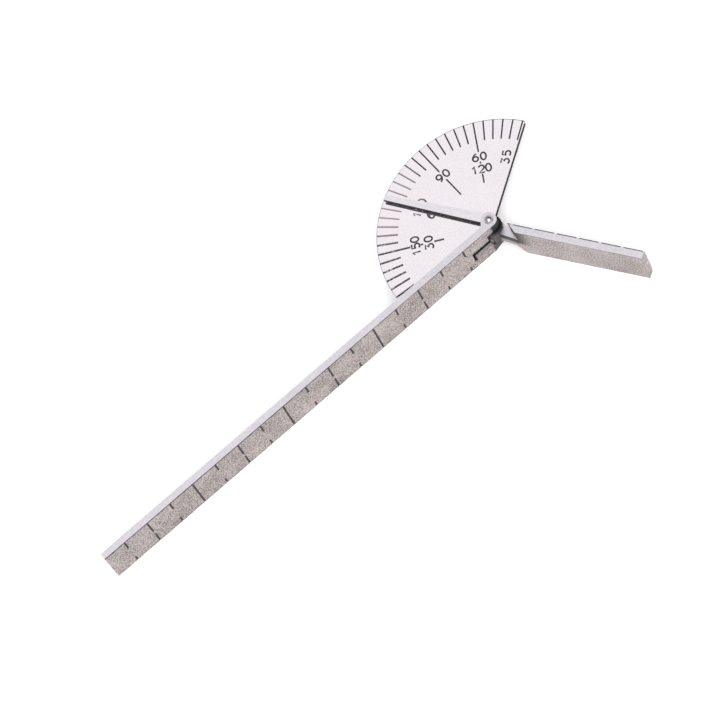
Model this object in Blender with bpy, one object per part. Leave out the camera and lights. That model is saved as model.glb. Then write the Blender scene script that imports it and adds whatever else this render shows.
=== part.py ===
"""Finger goniometer: a small stainless-steel protractor with two thin blade arms.

The long arm lies along -X, with its blade on edge. A graduated sector plate is fixed in a
groove in the long arm's back. The short arm turns on a riveted pin in the long arm's fork and
carries a pointer that sweeps over the sector plate. The origin is on the pivot axis, level
with the lower edges of both arms. Z is up, and lengths below are in millimetres.
"""
import math

import bmesh
import bpy
from mathutils import Vector

MM = 0.001

# Driving dimensions
GAP = 0.1                  # clearance between neighbouring pieces
BLADE_HEIGHT = 10.6        # width of both blades, which stand on edge
ARC_STEP = 5.0             # degrees between the points of a round stretch
MARGIN = 1.0               # how far cutters and joined solids reach past a face

LONG_LENGTH = 109.5        # pivot axis to the long arm's free end
LONG_FRONT = -1.8          # y of the long arm's graduated front face
LONG_BACK = -GAP           # y of its back face, just clear of the pointer at 180 degrees
SHORT_LENGTH = 35.2        # pivot axis to the short arm's free end
SHORT_FRONT = -1.75        # the same two faces of the short arm, across its own length
SHORT_BACK = 0.2
SHORT_ANGLE = -57.0        # polar direction of the short arm at rest
POINTER_ANGLE = 121.5      # reading on the sector plate at rest

PLATE_RADIUS = 25.7
PLATE_TOP = 6.5
PLATE_THICKNESS = 0.75
PLATE_START = 33.5         # polar angle of the plate's free straight edge
PLATE_CORNER = 0.8         # radius of its rounded outer corner
PLATE_TAB = 0.45           # depth of the plate's edge inside the long arm's groove
PLATE_CUTOUT = 2.6         # radius of the hollow corner around the hub
PLATE_ARC_END = 178.0      # polar angle where the rim gives way to the tab

HOLE_RADIUS = 0.85         # pin hole through every piece on the pivot
PIN_RADIUS = HOLE_RADIUS - GAP
PIN_HEAD_RADIUS = 1.0
PIN_HEAD_TOP = 11.1
PIN_HEAD_RIM = 0.15        # height of the head's upright rim
PIN_HEAD_SHOULDER = 0.8    # where the dome bends, as a share of the head's radius
PIN_HEAD_FLAT = 0.45       # where its flat top starts, as a share of the same
PIN_HEAD_DROP = 0.06       # how far the shoulder is below the flat top
PIN_TAIL_RADIUS = 1.0      # spread end, flush in the lower ear
PIN_TAIL_HEIGHT = 0.3

LOWER_EAR_TOP = 2.65
LOWER_EAR_RADIUS = 1.3
LOWER_EAR_SHOULDER = -2.2  # x where the ear's front leaves the blade's front
UPPER_EAR_BOTTOM = 8.25
UPPER_EAR_RADIUS = 1.75
UPPER_EAR_SHOULDER = -0.2
EAR_ARC = (-85, 150)       # polar angles of an ear's round end
EAR_BLEND = 0.6            # length of the slant from the round end to the blade's back
GAP_TOP = 6.9              # top of the long arm's slot beyond the hub pocket
GAP_END = -7.3             # x where the slot ends
GAP_CORNER = 0.5           # radius of the corners there
TAB_END = GAP_END - 0.4    # x where the plate's tab ends
POCKET_END = -2.6          # x where the taller pocket over the pointer's hub ends
EAR_ROOT = -3.2            # x where the ears grow out of the blade

TONGUE_BOTTOM = 3.1
TONGUE_TOP = 6.65
HUB_RADIUS = 2.2
HUB_FRONT = 326.0          # direction, along the short arm, where the hub meets its front
MITRE_BACK = 4.15          # along the short arm: where the upper blade starts, at its back
MITRE_FRONT = 6.45         # and at its front
MITRE_START = 3.65         # where the upper blade is cut from, before the mitre
STEP = ((5.6, TONGUE_BOTTOM), (6.3, 2.35), (6.7, 1.1), (7.1, 0.3), (7.6, 0.0))  # lower corner

POINTER_BOTTOM = 6.8
POINTER_TOP = 7.8
POINTER_HUB = 2.3
POINTER_LENGTH = 25.2
POINTER_TIP_WIDTH = 1.25

WASHER_THICKNESS = 0.25
SPRING_WASHER_RADIUS = 1.6
THRUST_WASHER_RADIUS = 1.25


def clear_scene():
    for item in list(bpy.data.objects):
        bpy.data.objects.remove(item, do_unlink=True)


def steel(name, colour, roughness):
    """A metal material with one colour and roughness."""
    material = bpy.data.materials.new(name)
    material.use_nodes = True
    shader = material.node_tree.nodes["Principled BSDF"]
    shader.inputs["Base Color"].default_value = (*colour, 1.0)
    shader.inputs["Metallic"].default_value = 1.0
    shader.inputs["Roughness"].default_value = roughness
    return material


def arc(radius, start, end, centre=(0.0, 0.0)):
    """Points on an arc, in degrees, both ends included."""
    count = max(1, round(abs(end - start) / ARC_STEP))
    angles = [math.radians(start + (end - start) * i / count) for i in range(count + 1)]
    return [(centre[0] + radius * math.cos(a), centre[1] + radius * math.sin(a)) for a in angles]


def object_from(name, bm):
    """A new object from a bmesh whose faces are turned outwards."""
    bmesh.ops.recalc_face_normals(bm, faces=bm.faces)
    mesh = bpy.data.meshes.new(name)
    bm.to_mesh(mesh)
    bm.free()
    item = bpy.data.objects.new(name, mesh)
    bpy.context.scene.collection.objects.link(item)
    return item


def prism(name, outline, low, high, upright=False):
    """Extrude a closed outline: along Z from (x, y), or along Y from (x, z) when upright."""
    bm = bmesh.new()
    place = (lambda a, b: (a * MM, low * MM, b * MM)) if upright else (
        lambda a, b: (a * MM, b * MM, low * MM))
    face = bm.faces.new([bm.verts.new(place(a, b)) for a, b in outline])
    sweep = bmesh.ops.extrude_face_region(bm, geom=[face])
    moved = [v for v in sweep["geom"] if isinstance(v, bmesh.types.BMVert)]
    rise = (high - low) * MM
    bmesh.ops.translate(bm, verts=moved, vec=(0, rise, 0) if upright else (0, 0, rise))
    return object_from(name, bm)


def turned(name, profile, segments=48):
    """Turn a closed (radius, z) profile about the Z axis."""
    bm = bmesh.new()
    verts = [bm.verts.new((r * MM, 0, z * MM)) for r, z in profile]
    edges = [bm.edges.new(pair) for pair in zip(verts, verts[1:] + verts[:1])]
    bmesh.ops.spin(bm, geom=verts + edges, cent=(0, 0, 0), axis=(0, 0, 1), steps=segments,
                   angle=math.tau, use_duplicate=False)
    bmesh.ops.remove_doubles(bm, verts=bm.verts, dist=0.0001 * MM)
    return object_from(name, bm)


def combine(item, other, operation):
    """Apply an exact Boolean with another object, then remove that object."""
    modifier = item.modifiers.new("combine", "BOOLEAN")
    modifier.operation = operation
    modifier.solver = "EXACT"
    modifier.object = other
    result = bpy.data.meshes.new_from_object(
        item.evaluated_get(bpy.context.evaluated_depsgraph_get()))
    item.modifiers.clear()
    item.data = result
    bpy.data.objects.remove(other, do_unlink=True)


def finish(item, material, angle=0.0):
    """Give a piece its material, its polar direction and smooth round faces."""
    item.data.materials.clear()
    item.data.materials.append(material)
    item.data.shade_smooth()
    item.data.set_sharp_from_angle(angle=math.radians(25))
    item.rotation_euler.z = math.radians(angle)


def pin_hole(item):
    """Drill the pivot hole right through a piece."""
    low, high = -MARGIN, PIN_HEAD_TOP + MARGIN
    drill = turned("drill", [(0, low), (HOLE_RADIUS, low), (HOLE_RADIUS, high), (0, high)])
    combine(item, drill, "DIFFERENCE")


def tangent_angle(radius, point):
    """Polar angle, in degrees, where a line from a point touches a circle at the origin."""
    place = Vector(point)
    spread = math.degrees(math.acos(radius / place.length))
    return spread + math.degrees(math.atan2(place.y, place.x))


def long_arm(material):
    """Blade with a slotted end, an upper and a lower ear, and a groove for the plate."""
    blade_end, corner_x = EAR_ROOT + MARGIN, GAP_END + GAP_CORNER
    side = [(-LONG_LENGTH, 0), (blade_end, 0), (blade_end, LOWER_EAR_TOP),
            *arc(GAP_CORNER, 270, 180, (corner_x, LOWER_EAR_TOP + GAP_CORNER)),
            *arc(GAP_CORNER, 180, 90, (corner_x, GAP_TOP - GAP_CORNER)),
            (POCKET_END, GAP_TOP), (POCKET_END, UPPER_EAR_BOTTOM),
            (blade_end, UPPER_EAR_BOTTOM), (blade_end, BLADE_HEIGHT),
            (-LONG_LENGTH, BLADE_HEIGHT)]
    blade = prism("long_arm", side, LONG_FRONT, LONG_BACK, upright=True)
    ears = ((LOWER_EAR_RADIUS, 0, LOWER_EAR_TOP, LOWER_EAR_SHOULDER),
            (UPPER_EAR_RADIUS, UPPER_EAR_BOTTOM, BLADE_HEIGHT, UPPER_EAR_SHOULDER))
    for radius, low, high, shoulder in ears:
        outline = [(EAR_ROOT, LONG_FRONT), (shoulder, LONG_FRONT), *arc(radius, *EAR_ARC),
                   (-radius - EAR_BLEND, LONG_BACK), (EAR_ROOT, LONG_BACK)]
        combine(blade, prism("ear", outline, low, high), "UNION")
    groove = prism("groove", [
        (-PLATE_RADIUS - GAP, LONG_BACK - PLATE_TAB - GAP),
        (GAP_END, LONG_BACK - PLATE_TAB - GAP), (GAP_END, MARGIN),
        (-PLATE_RADIUS - GAP, MARGIN)],
        PLATE_TOP - PLATE_THICKNESS - GAP, PLATE_TOP + GAP)
    combine(blade, groove, "DIFFERENCE")
    pin_hole(blade)
    sink_radius = PIN_TAIL_RADIUS + GAP
    sink_top = PIN_TAIL_HEIGHT + GAP
    sink = turned("sink", [
        (0, -MARGIN), (sink_radius, -MARGIN), (sink_radius, PIN_TAIL_HEIGHT / 2),
        (HOLE_RADIUS, sink_top), (0, sink_top)])
    combine(blade, sink, "DIFFERENCE")
    finish(blade, material)


def sector_plate(material):
    """Flat sector whose straight side has a tab in the long arm's groove."""
    inset = math.degrees(math.asin(PLATE_CORNER / (PLATE_RADIUS - PLATE_CORNER)))
    corner_angle = math.radians(PLATE_START + inset)
    reach = PLATE_RADIUS - PLATE_CORNER
    corner = (reach * math.cos(corner_angle), reach * math.sin(corner_angle))
    tab_y = LONG_BACK - PLATE_TAB
    outer_x = -math.sqrt(PLATE_RADIUS ** 2 - tab_y ** 2)
    outline = [*arc(PLATE_CUTOUT, 180, PLATE_START),
               *arc(PLATE_CORNER, PLATE_START - 90, PLATE_START + inset, corner),
               *arc(PLATE_RADIUS, PLATE_START + inset, PLATE_ARC_END)[1:],
               (outer_x, tab_y), (TAB_END, tab_y), (TAB_END, 0)]
    plate = prism("sector_plate", outline, PLATE_TOP - PLATE_THICKNESS, PLATE_TOP)
    finish(plate, material)


def short_arm(material):
    """Blade with a mitred upper corner, a stepped lower corner and a tongue for the fork."""
    side = [(SHORT_LENGTH, 0), (SHORT_LENGTH, BLADE_HEIGHT), (MITRE_START, BLADE_HEIGHT),
            (MITRE_START, TONGUE_TOP), (STEP[0][0], TONGUE_TOP), *STEP]
    blade = prism("short_arm", side, SHORT_FRONT, SHORT_BACK, upright=True)
    slant = MARGIN * (MITRE_BACK - MITRE_FRONT) / (SHORT_BACK - SHORT_FRONT)
    mitre = prism("mitre", [
        (0, SHORT_FRONT - MARGIN), (MITRE_FRONT - slant, SHORT_FRONT - MARGIN),
        (MITRE_BACK + slant, SHORT_BACK + MARGIN), (0, SHORT_BACK + MARGIN)],
        TONGUE_TOP, BLADE_HEIGHT + MARGIN)
    combine(blade, mitre, "DIFFERENCE")
    tongue = prism("tongue", [
        *arc(HUB_RADIUS, tangent_angle(HUB_RADIUS, (MITRE_BACK, SHORT_BACK)), HUB_FRONT),
        (MITRE_FRONT, SHORT_FRONT), (STEP[-1][0], SHORT_FRONT), (STEP[-1][0], SHORT_BACK),
        (MITRE_BACK, SHORT_BACK)], TONGUE_BOTTOM, TONGUE_TOP)
    combine(blade, tongue, "UNION")
    pin_hole(blade)
    finish(blade, material, SHORT_ANGLE)


def pointer(material):
    """Thin tapered bar on a round hub; its straight reading edge runs from the pivot axis."""
    outline = [*arc(POINTER_HUB, 0, 270), (POINTER_LENGTH, -POINTER_TIP_WIDTH),
               (POINTER_LENGTH, 0)]
    bar = prism("pointer", outline, POINTER_BOTTOM, POINTER_TOP)
    pin_hole(bar)
    finish(bar, material, POINTER_ANGLE)


def pivot_pin(material):
    """Rivet with a low domed head on top and a spread tail flush with the lower ear."""
    head = BLADE_HEIGHT + GAP
    pin = turned("pivot_pin", [
        (0, 0), (PIN_TAIL_RADIUS, 0), (PIN_RADIUS, PIN_TAIL_HEIGHT), (PIN_RADIUS, head),
        (PIN_HEAD_RADIUS, head), (PIN_HEAD_RADIUS, head + PIN_HEAD_RIM),
        (PIN_HEAD_RADIUS * PIN_HEAD_SHOULDER, PIN_HEAD_TOP - PIN_HEAD_DROP),
        (PIN_HEAD_RADIUS * PIN_HEAD_FLAT, PIN_HEAD_TOP), (0, PIN_HEAD_TOP)])
    finish(pin, material)


def washer(name, radius, bottom, material):
    """Flat ring on the pin."""
    top = bottom + WASHER_THICKNESS
    ring = turned(name, [(HOLE_RADIUS, bottom), (radius, bottom), (radius, top),
                         (HOLE_RADIUS, top)])
    finish(ring, material)


clear_scene()
satin = steel("satin_steel", (0.56, 0.53, 0.52), 0.42)
polished = steel("polished_steel", (0.80, 0.78, 0.80), 0.25)
pin_steel = steel("pin_steel", (0.72, 0.70, 0.71), 0.30)
long_arm(satin)
sector_plate(polished)
short_arm(satin)
pointer(polished)
pivot_pin(pin_steel)
washer("spring_washer", SPRING_WASHER_RADIUS, POINTER_TOP + GAP, pin_steel)
washer("thrust_washer", THRUST_WASHER_RADIUS, LOWER_EAR_TOP + GAP, pin_steel)
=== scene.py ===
"""Finger goniometer: a small stainless-steel protractor with two blade arms standing on edge.

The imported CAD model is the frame. Each of its nodes is replaced by a finer piece with worn
edges, engraved graduations and a ground or polished steel finish. Lengths are in millimetres
unless a name says otherwise, and the origin is on the pivot axis, level with the arms' feet.
"""
import math

import bpy
from mathutils import Matrix, Vector


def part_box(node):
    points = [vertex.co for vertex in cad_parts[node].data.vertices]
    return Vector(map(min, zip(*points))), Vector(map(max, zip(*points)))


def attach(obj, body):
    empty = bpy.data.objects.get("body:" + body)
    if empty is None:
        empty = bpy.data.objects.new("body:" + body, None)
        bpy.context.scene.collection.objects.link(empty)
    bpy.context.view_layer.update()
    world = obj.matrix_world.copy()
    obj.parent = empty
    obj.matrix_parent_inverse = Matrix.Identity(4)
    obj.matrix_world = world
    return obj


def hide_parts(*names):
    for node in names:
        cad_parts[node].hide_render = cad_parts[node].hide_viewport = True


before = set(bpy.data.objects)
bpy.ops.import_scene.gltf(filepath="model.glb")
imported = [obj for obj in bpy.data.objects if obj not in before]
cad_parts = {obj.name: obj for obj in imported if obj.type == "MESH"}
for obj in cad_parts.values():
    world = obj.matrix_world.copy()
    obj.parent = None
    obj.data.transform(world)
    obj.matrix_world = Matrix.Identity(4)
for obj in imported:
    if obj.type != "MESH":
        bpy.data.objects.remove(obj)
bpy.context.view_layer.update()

MM = 0.001
MERGE = 0.002              # points closer than this are the same point
NEAR = 0.01                # how far from a face a point may be and still count as on it

# Sizes that follow the frame
ARM_LOW, ARM_HIGH = (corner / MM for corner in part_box("long_arm"))
PLATE_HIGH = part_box("sector_plate")[1] / MM
LONG_LENGTH = -ARM_LOW.x
LONG_FRONT, LONG_BACK = ARM_LOW.y, -0.1
BLADE_HEIGHT = ARM_HIGH.z
PLATE_TOP = PLATE_HIGH.z
PLATE_RADIUS = PLATE_HIGH.y
PIN_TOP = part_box("pivot_pin")[1].z / MM

# Directions and sizes the frame's boxes don't give
SHORT_ANGLE = -57.0        # polar direction of the short arm
POINTER_ANGLE = 121.5      # polar direction of the pointer's reading edge
SHORT_LENGTH = 35.2
SHORT_BACK = 0.2           # the short arm's back face, across its own length
PLATE_START = 33.5         # polar angle of the plate's free straight edge
PIN_RADIUS = 0.75

# Graduations and engraving
LONG_PITCH = 6.35          # between the long arm's ticks
SHORT_PITCH = 5.0          # between the short arm's marks
OVERRUN = 0.3              # how far an engraved line runs past an edge
STROKE = 0.35              # width of an engraved line
BOLD_STROKE = 0.45
GROOVE_DEPTH = 0.15
GROOVE_LIFT = 0.015        # how far a cutter's axis is above the surface
DIGIT_STROKE = 0.4
DIGIT_WIDTH = 0.6          # half the width and half the height of a digit's centre line
DIGIT_HEIGHT = 0.88


# Metal. Scales are in features to the metre.
CLOUD_SCALE = 170.0
SCRATCH_SCALE = 2600.0
GRAIN_RANGE = 0.38, 0.62   # noise values that give the dark and the light colour
BUMP_HEIGHT = 0.00003      # metres
OVERLAY_SHINE = 0.15          # specular level of a material with a wear and painted light mask


# ---------------------------------------------------------------- shader nodes

class Socket:
    """An output socket of a node; arithmetic on it adds Math nodes."""

    def __init__(self, nodes, socket):
        self.nodes, self.socket = nodes, socket

    def __add__(self, other):
        return self.nodes.math("ADD", self, other)

    def __sub__(self, other):
        return self.nodes.math("SUBTRACT", self, other)

    def __mul__(self, other):
        return self.nodes.math("MULTIPLY", self, other)

    def __rsub__(self, other):
        return self.nodes.math("SUBTRACT", other, self)

    __radd__ = __add__
    __rmul__ = __mul__


class Nodes:
    """A node tree, with the few ways this script adds nodes to it."""

    def __init__(self, tree):
        self.tree = tree

    def math(self, operation, first, second):
        return self.add("Math", {"operation": operation}, {0: first, 1: second})

    def add(self, kind, settings=None, inputs=None, output=0):
        """Add a node, set it up, fill or link its sockets, and return one of its outputs."""
        node = self.tree.nodes.new("ShaderNode" + kind)
        for name, value in (settings or {}).items():
            if name == "stops":
                self.set_stops(node.color_ramp, value)
            else:
                setattr(node, name, value)
        for name, value in (inputs or {}).items():
            self.fill(node.inputs[name], value)
        return Socket(self, node.outputs[output])

    def fill(self, socket, value):
        if isinstance(value, Socket):
            self.tree.links.new(value.socket, socket)
        else:
            socket.default_value = value

    def set_stops(self, ramp, stops):
        while len(ramp.elements) < len(stops):
            ramp.elements.new(1.0)
        for element, (place, colour) in zip(ramp.elements, stops):
            element.position = place
            element.color = (*colour, 1.0)

    def blend(self, share, low, high):
        """A colour between low and high."""
        low, high = ((*c, 1.0) if isinstance(c, tuple) else c for c in (low, high))
        return self.add("Mix", {"data_type": "RGBA"}, {0: share, 6: low, 7: high}, output=2)

    def noise(self, place, scale, detail=3.0, roughness=0.55):
        """Cloudy noise; scale is in features to the metre."""
        return self.add("TexNoise", inputs={"Vector": place, "Scale": scale, "Detail": detail,
                                            "Roughness": roughness})

    def between(self, value, low, high):
        """0 where value is below low, 1 above high, and smooth between them."""
        return self.add("MapRange", {"interpolation_type": "SMOOTHSTEP"},
                        {"Value": value, "From Min": low, "From Max": high})

    def along(self, turn=0.0, stretch=(1, 1, 1)):
        """Object coordinates turned so that x runs along a piece, then stretched."""
        place = self.add("TexCoord", output="Object")
        turned = self.add("Mapping", inputs={"Vector": place,
                                             "Rotation": (0, 0, -math.radians(turn))})
        return self.add("Mapping", inputs={"Vector": turned, "Scale": stretch})


def steel(name, dark, light, rough, grain, turn=0.0, stretch=(1, 1, 1), relief=0.1,
          scuffs=0.0, metallic=1.0, wear_and_painted_light=None, wear_and_painted_light_colour=(0.012, 0.011, 0.012)):
    """Worked metal: fine grain along a direction, faint clouding, and a few light scuffs.

    The wear and painted light mask, if given, takes the nodes and the x, y and z of a point in
    millimetres along the piece, and returns how far painted shade, painted highlights and wear
    cover the point.
    """
    material = bpy.data.materials.new(name)
    material.use_nodes = True
    nodes = Nodes(material.node_tree)
    shader = material.node_tree.nodes["Principled BSDF"]
    fine = nodes.noise(nodes.along(turn, stretch), grain, detail=3.0, roughness=0.7)
    cloud = nodes.noise(nodes.along(turn), CLOUD_SCALE, detail=3.0)
    scratch = nodes.noise(nodes.along(turn + 24, (0.12, 1.6, 1.6)), SCRATCH_SCALE, detail=1.0)
    mark = nodes.between(scratch, 0.70, 0.78) * nodes.between(cloud, 0.5, 0.62)
    tone = fine * 0.85 + cloud * 0.15 + mark * scuffs
    colour = nodes.blend(nodes.between(tone, *GRAIN_RANGE), dark, light)
    shine = metallic
    # the mask paints shade, highlights and wear over the colour, as each caller gives them
    if wear_and_painted_light:
        places = [nodes.add("SeparateXYZ", inputs={"Vector": nodes.along(turn)}, output=axis)
                  * (1 / MM) for axis in "XYZ"]
        overlay_share = wear_and_painted_light(nodes, *places)
        colour = nodes.blend(overlay_share, colour, wear_and_painted_light_colour)
        shine = (1 - overlay_share) * metallic
        shader.inputs["Specular IOR Level"].default_value = OVERLAY_SHINE
    nodes.fill(shader.inputs["Base Color"], colour)
    nodes.fill(shader.inputs["Roughness"], fine * 0.16 + (rough - 0.08) - mark * 0.05)
    nodes.fill(shader.inputs["Metallic"], shine)
    bump = nodes.add("Bump", inputs={"Strength": relief, "Distance": BUMP_HEIGHT,
                                     "Height": fine + mark * 0.4})
    nodes.fill(shader.inputs["Normal"], bump)
    return material


# Ends and rounded corners of a blade are painted dark as shade; the slot's floor is painted
# light.
FACE, EDGE, SHADED_END, SHADED_CORNER, SLOT, CHAMFER = range(6)


def blade_finishes(arm, turn, wear_and_painted_light):
    """Satin faces, ground edges, ends and rounded corners painted dark as shade, and the floor of
    the slot painted light with painted shade.
    """
    satin = (0.15, 0.13, 0.125), (0.52, 0.46, 0.45), 0.42, 2900.0, turn, (1.2, 1, 0.8), 0.3
    return [
        steel(arm + "_satin_face", *satin, scuffs=0.5, wear_and_painted_light=wear_and_painted_light),
        steel(arm + "_ground_edge", (0.66, 0.62, 0.67), (0.76, 0.72, 0.77), 0.32, 4500.0,
              turn, (1.0, 0.3, 1.0), 0.06, scuffs=0.1),
        # painted shade: the end faces near black and matt
        steel(arm + "_dark_end", (0.008, 0.007, 0.008), (0.02, 0.018, 0.019), 0.8, 4200.0,
              turn, (1, 1, 1), 0.2, metallic=0.0),
        # painted shade: the rounded corners darkened
        steel(arm + "_worn_corner", (0.06, 0.052, 0.056), (0.14, 0.12, 0.13), 0.5, 3000.0,
              turn, (0.4, 1, 1), 0.1),
        # painted light: the slot's floor made brighter, with painted shade from its mask
        steel(arm + "_slot_floor", (0.55, 0.5, 0.49), (0.95, 0.88, 0.86), 0.42, 2700.0,
              wear_and_painted_light=slot_painted_shade),
    ]


def slot_painted_shade(nodes, x, y, z):
    """Painted shade at the slot's blind end, along its back and around the hub."""
    off_the_end = nodes.between(x, -6.7, -6.2)
    off_the_back = 1 - nodes.between(y, -0.8, -0.5)
    off_the_hub = 1 - nodes.between(x, -2.6, -1.6)
    return 1 - off_the_end * off_the_back * off_the_hub


def fork_painted_shade(nodes, x, y, z):
    """Painted shade on the front of the upper ear, where it begins to turn."""
    return nodes.between(x, -1.2, -0.7) * nodes.between(z, 6.9, 7.4)


def hub_painted_shade(nodes, x, y, z):
    """Painted shade on the short arm beside the hub, darkest just under the tongue's top."""
    return (1 - nodes.between(x, 6.0, 10.0)) * nodes.between(z, 3.8, 5.4)


def chamfer_painted_shade(nodes, x, y, z):
    """Painted shade along the back chamfer, left off as a painted highlight at every mark."""
    apart = nodes.math("PINGPONG", x - SHORT_LENGTH, SHORT_PITCH / 2)
    return nodes.between(apart, 0.22, 0.38)


def rim_shade(nodes, x, y, z):
    """The plate's rim is dark on the side of its free corner."""
    return nodes.between(x, 2.0, 12.0)


def paint_wear_and_glints(nodes, x, y, z):
    """Paint is thinner where fingers rub the scale; beside the long arm, painted highlights stand
    for glints in the grooves.
    """
    across, up = x + 13, y - 21
    rubbed = 1 - nodes.between(across * across + up * up, 20.0, 130.0)
    painted_glints = nodes.between(nodes.noise(nodes.along(), 1400.0, detail=1.0), 0.56, 0.62)
    return rubbed * 0.55 + painted_glints * (1 - nodes.between(x, -21.0, -17.0)) * 0.8


# ---------------------------------------------------------------- making pieces

def select_only(item):
    bpy.ops.object.select_all(action="DESELECT")
    item.select_set(True)
    bpy.context.view_layer.objects.active = item


def merged_copy(node, name):
    """A copy of a CAD node with its doubles merged and its flat faces made whole."""
    item = bpy.data.objects.new(name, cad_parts[node].data.copy())
    bpy.context.scene.collection.objects.link(item)
    select_only(item)
    item.data.materials.clear()
    bpy.ops.mesh.customdata_custom_splitnormals_clear()
    bpy.ops.object.mode_set(mode="EDIT")
    bpy.ops.mesh.select_all(action="SELECT")
    bpy.ops.mesh.remove_doubles(threshold=MERGE * MM)
    bpy.ops.mesh.dissolve_limited(angle_limit=math.radians(0.6))
    bpy.ops.object.mode_set(mode="OBJECT")
    return item


def apply_modifier(item, kind, **settings):
    select_only(item)
    modifier = item.modifiers.new(kind.lower(), kind)
    for name, value in settings.items():
        setattr(modifier, name, value)
    bpy.ops.object.modifier_apply(modifier=modifier.name)


def break_edges(item, width):
    """Round every sharp edge a little, as a wheel or a cloth leaves it."""
    apply_modifier(item, "BEVEL", width=width * MM, segments=3, limit_method="ANGLE",
                   angle_limit=math.radians(35), use_clamp_overlap=True)
    bpy.ops.object.mode_set(mode="EDIT")
    bpy.ops.mesh.select_all(action="SELECT")
    bpy.ops.mesh.remove_doubles(threshold=MERGE * MM)
    bpy.ops.mesh.dissolve_degenerate(threshold=MERGE * MM)
    bpy.ops.object.mode_set(mode="OBJECT")


def ease_edge(item, turn, width, segments, chosen):
    """Round or chamfer the edges both of whose ends, turned back, pass the test."""
    back = Matrix.Rotation(-math.radians(turn), 3, "Z")
    select_only(item)
    bpy.ops.object.mode_set(mode="EDIT")
    bpy.ops.mesh.select_mode(type="EDGE")
    bpy.ops.mesh.select_all(action="DESELECT")
    bpy.ops.object.mode_set(mode="OBJECT")
    places = [back @ vertex.co / MM for vertex in item.data.vertices]
    for edge in item.data.edges:
        edge.select = all(chosen(places[end]) for end in edge.vertices)
    bpy.ops.object.mode_set(mode="EDIT")
    bpy.ops.mesh.bevel(offset=width * MM, segments=segments, affect="EDGES")
    bpy.ops.object.mode_set(mode="OBJECT")


def finish_faces(item):
    """Smooth round faces, with flat faces kept flat."""
    select_only(item)
    bpy.ops.object.shade_smooth_by_angle(angle=math.radians(32))
    apply_modifier(item, "WEIGHTED_NORMAL", keep_sharp=True, weight=100)


def paint_by_direction(item, materials, turn, choose):
    """Give each face the material whose index choose() returns for its turned normal."""
    for material in materials:
        item.data.materials.append(material)
    back = Matrix.Rotation(-math.radians(turn), 3, "Z")
    for face in item.data.polygons:
        face.material_index = choose(back @ face.normal, back @ face.center / MM)


# ---------------------------------------------------------------- engraving

def ellipse(centre, across, up, start, end, steps=14):
    """Points on a stretch of an ellipse, from start to end degrees."""
    angles = [math.radians(start + (end - start) * i / steps) for i in range(steps + 1)]
    return [(centre[0] + across * math.cos(a), centre[1] + up * math.sin(a)) for a in angles]


def digit_strokes(digit):
    """Centre lines of a digit about its middle, each as (points, closed)."""
    a, b = DIGIT_WIDTH, DIGIT_HEIGHT
    oval = (ellipse((0, 0), a, b, 90, 430, 20), True)
    bowl = (ellipse((0, -0.36 * b), a, 0.64 * b, 180, 520, 17), True)
    sweep = (ellipse((0.9 * a, -0.36 * b), 1.9 * a, 1.36 * b, 176, 100, 8), False)
    if digit == "9":
        return [([(-x, -y) for x, y in points], closed) for points, closed in (bowl, sweep)]
    return {
        "0": [oval],
        "1": [([(-0.7 * a, 0.45 * b), (0.1 * a, b), (0.1 * a, -b)], False)],
        "2": [([*ellipse((0, 0.4 * b), a, 0.6 * b, 165, -35, 10), (-a, -b), (a, -b)], False)],
        "3": [([(-0.9 * a, b), (0.85 * a, b), (-0.1 * a, 0.22 * b),
                *ellipse((-0.05 * a, -0.38 * b), a, 0.62 * b, 75, -150, 11)], False)],
        "5": [([(0.85 * a, b), (-0.75 * a, b), (-0.85 * a, 0.12 * b),
                *ellipse((-0.05 * a, -0.36 * b), a, 0.64 * b, 120, -145, 12)], False)],
        "6": [bowl, sweep],
    }[digit]


def number_strokes(text, centre, right, up, pitch):
    """The strokes of a number, centred on a point, with its own right and up directions."""
    strokes = []
    for place, digit in enumerate(text):
        middle = centre + right * (pitch * (place - (len(text) - 1) / 2))
        for points, closed in digit_strokes(digit):
            strokes.append(([tuple(middle + right * x + up * y) for x, y in points], closed))
    return strokes


def groove_cutter(strokes, placement, width, depth, paint):
    """Closed wedge-section bars along the strokes, to be cut out of a surface.

    The strokes are drawn on a plane that placement carries onto the surface, z outwards.
    """
    bpy.ops.object.add(type="CURVE")
    cutter = bpy.context.object
    curve = cutter.data
    curve.dimensions = "3D"
    curve.twist_mode = "Z_UP"
    slope = 2 * depth / width
    curve.bevel_depth = (width / 2 + GROOVE_LIFT / slope) * MM
    curve.bevel_resolution = 0
    curve.use_fill_caps = True
    for points, closed in strokes:
        spline = curve.splines.new("POLY")
        spline.points.add(len(points) - 1)
        for point, (x, y) in zip(spline.points, points):
            point.co = (x * MM, y * MM, 0, 1)
        spline.use_cyclic_u = closed
    select_only(cutter)
    bpy.ops.object.convert(target="MESH")
    cutter.data.transform(placement @ Matrix.Translation((0, 0, GROOVE_LIFT * MM))
                          @ Matrix.Diagonal((1, 1, slope, 1)))
    select_only(cutter)
    bpy.ops.object.mode_set(mode="EDIT")
    bpy.ops.mesh.select_all(action="SELECT")
    bpy.ops.mesh.remove_doubles(threshold=MERGE * MM)
    bpy.ops.mesh.normals_make_consistent(inside=False)
    bpy.ops.object.mode_set(mode="OBJECT")
    cutter.data.materials.clear()
    cutter.data.materials.append(paint)
    return cutter


def engrave(item, strokes, placement, width, paint, depth=GROOVE_DEPTH):
    cutter = groove_cutter(strokes, placement, width, depth, paint)
    apply_modifier(item, "BOOLEAN", operation="DIFFERENCE", solver="EXACT", object=cutter,
                   use_self=True, material_mode="TRANSFER")
    bpy.data.objects.remove(cutter, do_unlink=True)


def polar(radius, degrees):
    return Vector((math.cos(math.radians(degrees)), math.sin(math.radians(degrees)))) * radius


LABELS = {60: ("60", "120"), 90: ("90",), 120: ("120", "60"), 150: ("150", "30")}


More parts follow.
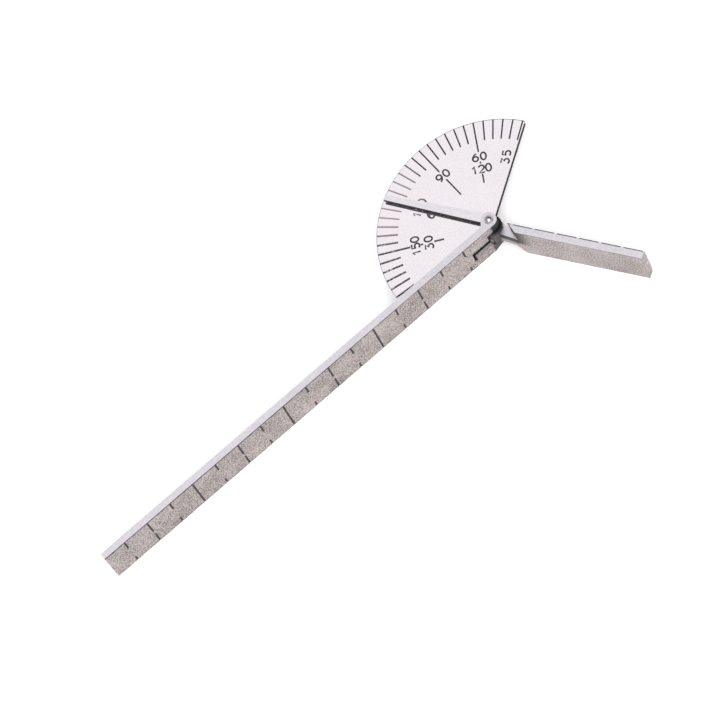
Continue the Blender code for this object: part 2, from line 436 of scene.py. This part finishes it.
def dial_lines(angles):
    """Every 5 degrees a tick; every 30 a long line, broken where its numbers stand."""
    rim = PLATE_RADIUS + OVERRUN
    tick_end, line_end = 20.85, 18.35
    under_outer, over_inner, under_inner, tail_end = 16.0, 15.45, 13.0, 10.8
    lines = [(rim, line_end if angle in LABELS else tick_end, angle) for angle in angles]
    for angle, rows in LABELS.items():
        if angle in angles:
            lines.append((under_inner if len(rows) == 2 else under_outer, tail_end, angle))
            if len(rows) == 2:
                lines.append((under_outer, over_inner, angle))
    return [([tuple(polar(start, angle)), tuple(polar(end, angle))], False)
            for start, end, angle in lines]


def dial_numbers():
    """Numbers read from the pivot outwards; 35 reads along the free edge."""
    outer_row, inner_row = 17.15, 14.2
    wide_pitch, tight_pitch = 1.8, 1.55
    strokes = []
    for angle, rows in LABELS.items():
        for text, radius in zip(rows, (outer_row, inner_row)):
            pitch = wide_pitch if len(text) == 2 else tight_pitch
            strokes += number_strokes(text, polar(radius, angle), polar(1, angle - 90),
                                      polar(1, angle), pitch)
    row, angle, pitch = 16.6, 39.9, 1.85
    return strokes + number_strokes("35", polar(row, angle), polar(1, angle),
                                    polar(1, angle + 90), pitch)


def sector_dial():
    """The graduated plate."""
    plate = merged_copy("sector_plate", "sector_dial")
    rim, tab = PLATE_RADIUS - 0.4, -25
    ease_edge(plate, PLATE_START, 0.2, 2, lambda place: place.z > PLATE_TOP - NEAR and (
        place.xy.length > rim or place.y < NEAR) and place.x > tab)
    break_edges(plate, 0.06)
    finishes = [
        steel("dial_polished_face", (0.85, 0.80, 0.84), (0.92, 0.87, 0.91), 0.08, 2600.0,
              relief=0.006, scuffs=0.1),
        # painted shade: the free straight edge near black and matt
        steel("dial_free_edge_painted_shade", (0.010, 0.009, 0.010), (0.03, 0.027, 0.028), 0.8, 4200.0,
              metallic=0.0),
        steel("dial_rim", (0.5, 0.47, 0.5), (0.7, 0.66, 0.7), 0.4, 4200.0, wear_and_painted_light=rim_shade),
    ]
    free = polar(1, PLATE_START - 90)

    def finish_of(normal, place):
        if abs(normal.z) > 0.97:
            return 0
        return 1 if normal.xy.dot(free) > 0.3 * normal.xy.length else 2
    paint_by_direction(plate, finishes, 0, finish_of)
    top = Matrix.Translation((0, 0, PLATE_TOP * MM))
    paint = steel("dial_paint", (0.02, 0.018, 0.019), (0.10, 0.09, 0.095), 0.55, 3500.0,
                  relief=0.3, metallic=0.0, wear_and_painted_light=paint_wear_and_glints, wear_and_painted_light_colour=(0.5, 0.4, 0.45))
    engrave(plate, dial_lines(range(35, 135, 5)), top, STROKE, paint)
    engrave(plate, dial_lines(range(135, 180, 5)), top, BOLD_STROKE, paint)
    engrave(plate, dial_numbers(), top, DIGIT_STROKE, paint)
    finish_faces(plate)
    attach(plate, "frame")
    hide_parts("sector_plate")


def long_arm_strokes():
    """Short ticks from both edges, longer ones at every second, full lines at every fourth."""
    first_tick = 5.4 - LONG_LENGTH
    strokes = []
    for count in range(1, 17):
        x = first_tick + LONG_PITCH * (count - 1)
        top, foot = (5.0, 4.4) if count % 4 == 2 else (2.9, 2.3)
        if count % 4 == 0 and count < 16:
            top = foot = BLADE_HEIGHT / 2 + 0.1
        strokes.append(([(x, BLADE_HEIGHT + OVERRUN), (x, BLADE_HEIGHT - top)], False))
        strokes.append(([(x, -OVERRUN), (x, foot)], False))
    return strokes


def blade_finish(normal, place):
    """Which finish a face of a blade has, by where it looks, along the blade."""
    flat = 0.985
    if abs(normal.y) > flat:
        return FACE
    # rounded corners take the painted shade
    return EDGE if abs(normal.z) > flat else SHADED_CORNER


def long_arm_finish(normal, place):
    if normal.x > 0.15 and place.z > 2.7:        # ends of the upper ear, pocket and slot, painted near black as shade
        return SHADED_END
    if normal.z > 0.9 and 1.0 < place.z < 3.0:   # top of the lower ear, the slot's floor: painted light, with painted shade
        return SLOT
    # the far end is painted near black as shade too
    return SHADED_END if normal.x < -0.9 else blade_finish(normal, place)


def short_arm_finish(normal, place):
    if normal.y > 0.3 and normal.z > 0.3:        # chamfer along the back: painted shade, with a painted highlight at each mark
        return CHAMFER
    return FACE if normal.x > 0.9 else blade_finish(normal, place)


def long_blade(paint):
    """The long arm with its fork and its engraved front."""
    arm = merged_copy("long_arm", "long_blade")
    ease_edge(arm, 0, 0.25, 3, lambda place: place.z > BLADE_HEIGHT - NEAR
              and place.y < LONG_FRONT + NEAR)
    ears = -2.0
    ease_edge(arm, 0, 0.08, 2, lambda place: place.x < ears and (
        place.z < NEAR or place.z > BLADE_HEIGHT - NEAR and place.y > LONG_BACK - NEAR))
    paint_by_direction(arm, blade_finishes("long", 0, fork_painted_shade), 0, long_arm_finish)
    front = Matrix.Translation((0, LONG_FRONT * MM, 0)) @ Matrix.Rotation(math.pi / 2, 4, "X")
    engrave(arm, long_arm_strokes(), front, 0.45, paint, depth=0.18)
    finish_faces(arm)
    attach(arm, "frame")
    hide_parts("long_arm")


def short_blade():
    """The short arm, with a bright notch in its chamfered back at every mark, where the chamfer's
    painted shade gives way to a painted highlight.
    """
    arm = merged_copy("short_arm", "short_blade")
    ease_edge(arm, SHORT_ANGLE, 0.3, 1, lambda place: place.z > BLADE_HEIGHT - NEAR
              and place.y > SHORT_BACK - NEAR)
    break_edges(arm, 0.08)
    finishes = blade_finishes("short", SHORT_ANGLE, hub_painted_shade)
    # painted shade on the chamfer, with painted highlights at the marks
    finishes.append(steel("short_marked_chamfer", (0.75, 0.71, 0.75), (0.85, 0.81, 0.85), 0.4,
                          4200.0, SHORT_ANGLE, wear_and_painted_light=chamfer_painted_shade))
    paint_by_direction(arm, finishes, SHORT_ANGLE, short_arm_finish)
    turn = Matrix.Rotation(math.radians(SHORT_ANGLE), 4, "Z")
    back = turn @ Matrix.Translation((0, SHORT_BACK * MM, 0)) @ Matrix.Rotation(
        math.pi, 4, "Z") @ Matrix.Rotation(math.pi / 2, 4, "X")
    strokes = []
    for count in range(1, 6):
        x = -(SHORT_LENGTH - SHORT_PITCH * count)
        strokes.append(([(x, BLADE_HEIGHT + OVERRUN), (x, BLADE_HEIGHT - 2.5)], False))
    engrave(arm, strokes, back, 0.6, finishes[EDGE], depth=0.35)
    finish_faces(arm)
    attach(arm, "moving_arm")
    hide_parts("short_arm")


def pointer_bar():
    """The pointer, bright on top, with its sides and its pivot end painted dark as shade."""
    bar = merged_copy("pointer", "pointer_bar")
    break_edges(bar, 0.06)
    finishes = [
        steel("pointer_face", (0.76, 0.72, 0.77), (0.86, 0.82, 0.87), 0.25, 3800.0,
              POINTER_ANGLE, (0.2, 1, 1), 0.05, scuffs=0.1,
              # painted shade: the top darkens at the pivot end
              wear_and_painted_light=lambda nodes, x, y, z: 1 - nodes.between(x, -0.3, 0.8)),
        # painted shade: the sides near black and matt
        steel("pointer_side_painted_shade", (0.012, 0.008, 0.012), (0.05, 0.035, 0.045), 0.8, 4200.0,
              metallic=0.0),
    ]
    paint_by_direction(bar, finishes, 0, lambda normal, place: 0 if abs(normal.z) > 0.9 else 1)
    finish_faces(bar)
    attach(bar, "moving_arm")
    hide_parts("pointer")


def turned_piece(name, profile, material, body, node):
    """A round piece on the pivot, drawn up ring by ring from its (radius, z) profile.

    A profile that ends on the axis is capped there; the other kind is a closed ring.
    """
    radius, z = profile[0]
    bpy.ops.object.select_all(action="DESELECT")
    bpy.ops.mesh.primitive_circle_add(vertices=64, radius=radius * MM, location=(0, 0, z * MM),
                                      fill_type="NOTHING")
    piece = bpy.context.object
    piece.name = name
    bpy.ops.object.mode_set(mode="EDIT")
    if profile[-1] != profile[0]:
        bpy.ops.mesh.edge_face_add()
    for (last, low), (radius, z) in zip(profile, profile[1:]):
        bpy.ops.mesh.extrude_region_move(TRANSFORM_OT_translate={"value": (0, 0, (z - low) * MM)})
        bpy.ops.transform.resize(value=(radius / last, radius / last, 1),
                                 center_override=(0, 0, z * MM))
    bpy.ops.mesh.select_all(action="SELECT")
    bpy.ops.mesh.remove_doubles(threshold=MERGE * MM)
    bpy.ops.mesh.normals_make_consistent(inside=False)
    bpy.ops.object.mode_set(mode="OBJECT")
    bpy.ops.object.transform_apply(location=True, rotation=True, scale=True)
    piece.data.materials.append(material)
    finish_faces(piece)
    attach(piece, body)
    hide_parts(node)


def rivet(material):
    """The pivot pin: spread tail, shank, thin flange and a small domed head."""
    flange, dome, clearance = 1.0, 0.7, 0.1
    seat = BLADE_HEIGHT + clearance
    crown = seat + 0.05
    rise = PIN_TOP - crown
    cap = [(dome * out, crown + rise * up) for out, up in (
        (1.0, 0.0), (0.97, 0.2), (0.9, 0.38), (0.7, 0.65), (0.45, 0.87), (0.2, 0.98))]
    tail = [(0.9, 0.0), (0.98, 0.05), (0.98, 0.08), (PIN_RADIUS, 0.3)]
    profile = [*tail, (PIN_RADIUS, seat - 0.05), (flange - 0.04, seat - 0.05), (flange, seat),
               (flange - 0.06, crown), *cap, (0.02, PIN_TOP)]
    turned_piece("rivet", profile, material, "frame", "pivot_pin")


def washer(name, node, inner, outer, material):
    low, high = (corner.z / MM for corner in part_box(node))
    ease = 0.05
    profile = [(inner, low + ease), (inner + ease, low), (outer - ease, low),
               (outer, low + ease), (outer, high - ease), (outer - ease, high),
               (inner + ease, high), (inner, high - ease), (inner, low + ease)]
    turned_piece(name, profile, material, "frame", node)


# ---------------------------------------------------------------- studio

def studio():
    below = 0.1 * MM
    bpy.ops.mesh.primitive_plane_add(size=3, location=(0, 0, -below))
    floor = bpy.context.object
    floor.name = "floor"
    paper = bpy.data.materials.new("white_paper")
    paper.use_nodes = True
    shader = paper.node_tree.nodes["Principled BSDF"]
    shader.inputs["Base Color"].default_value = (0.93, 0.93, 0.93, 1)
    shader.inputs["Roughness"].default_value = 0.9
    shader.inputs["Emission Color"].default_value = (1, 1, 1, 1)
    shader.inputs["Emission Strength"].default_value = 0.1
    floor.data.materials.append(paper)

    world = bpy.data.worlds.new("studio")
    bpy.context.scene.world = world
    world.use_nodes = True
    nodes = Nodes(world.node_tree)
    background = world.node_tree.nodes["Background"]
    direction = nodes.add("TexCoord", output="Generated")
    height = nodes.add("SeparateXYZ", inputs={"Vector": direction}, output="Z")
    aside = nodes.add("VectorMath", {"operation": "DOT_PRODUCT"},
                      {0: direction, 1: (0.93, 0.37, 0.0)}, output="Value")
    glow = nodes.between(height, 0.45, 0.85)
    screen = nodes.between(aside, 0.3, 0.6) * (1 - nodes.between(height, 0.7, 0.85))
    sky = nodes.blend(glow, (0.3, 0.3, 0.31), (1.0, 1.0, 1.0))
    nodes.fill(background.inputs["Color"], nodes.blend(screen, sky, (0.03, 0.03, 0.03)))
    background.inputs["Strength"].default_value = 1.0

    bpy.ops.object.light_add(type="AREA", location=(-0.12, -0.474, 1.0))
    lamp = bpy.context.object
    lamp.data.energy = 13
    lamp.data.size = 1.0
    lamp.rotation_euler = lamp.location.to_track_quat("Z", "Y").to_euler()


def camera():
    """A long lens high over the front, turned so that the long arm rises to the left."""
    target = Vector((-40.44, -3.36, 6.5)) * MM
    distance, azimuth, elevation, roll = 0.9209, -9.5975, 64.3098, -32.1018
    turn = (Matrix.Rotation(math.radians(azimuth), 4, "Z")
            @ Matrix.Rotation(math.radians(90 - elevation), 4, "X")
            @ Matrix.Rotation(math.radians(roll), 4, "Z"))
    bpy.ops.object.camera_add()
    item = bpy.context.object
    item.data.lens = 215.1
    item.data.sensor_width = 36
    item.data.clip_end = 10
    item.matrix_world = Matrix.Translation(target) @ turn @ Matrix.Translation((0, 0, distance))
    bpy.context.scene.camera = item


arm_paint = steel("graduation_paint", (0.02, 0.017, 0.018), (0.08, 0.068, 0.072), 0.7, 3500.0,
                  relief=0.3, metallic=0.0)
pin_steel = steel("pin_polish", (0.42, 0.40, 0.42), (0.58, 0.55, 0.58), 0.3, 3000.0)
dull_steel = steel("washer_steel", (0.05, 0.047, 0.05), (0.16, 0.15, 0.16), 0.4, 3000.0)
sector_dial()
long_blade(arm_paint)
short_blade()
pointer_bar()
rivet(pin_steel)
washer("upper_washer", "spring_washer", 0.85, 1.6, dull_steel)
washer("lower_washer", "thrust_washer", 0.85, 1.25, dull_steel)
studio()
camera()
bpy.context.scene.view_settings.view_transform = "Standard"
